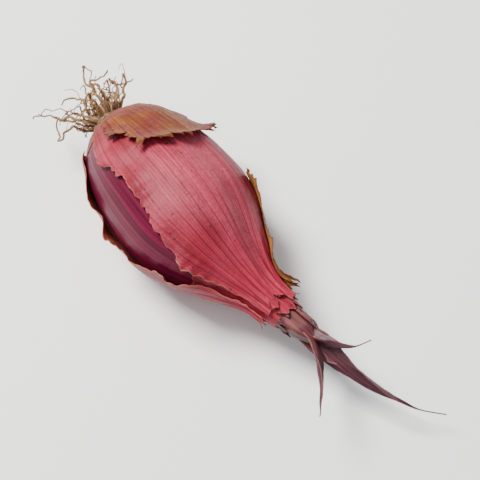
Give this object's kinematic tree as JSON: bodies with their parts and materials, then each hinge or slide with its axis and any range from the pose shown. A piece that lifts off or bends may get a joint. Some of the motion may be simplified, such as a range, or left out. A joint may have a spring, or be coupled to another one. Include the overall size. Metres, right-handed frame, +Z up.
{
  "type": "onion set",
  "caption": "Small red onion bulb for planting out, lying on its side, with a torn dusty outer skin, tan skin remnants, a dry neck with leaf ends, and a dried root tuft.",
  "frame": {"origin": "middle of the small flat spot that the bulb lies on", "axes": "+X along the bulb from the root end towards the neck, +Z up"},
  "size_m": [0.0762, 0.025, 0.0243],
  "materials": {
    "living_bulb": "glossy, moist-looking burgundy scale",
    "dusty_skin": "matt dusty rose dry skin with fine lengthwise veins",
    "tan_skin": "papery golden tan, torn and curled",
    "dry_leaf": "dull grey-purple dried leaf, pinkish at the neck",
    "dried_root": "dull straw-coloured dried root and cork"
  },
  "bodies": {
    "root": {"living_bulb": "living_bulb", "outer_skin": "dusty_skin", "root_end_remnant": "tan_skin", "neck_remnant": "tan_skin", "dry_neck": "dry_leaf", "root_tuft": "dried_root"}
  },
  "joints": []
}
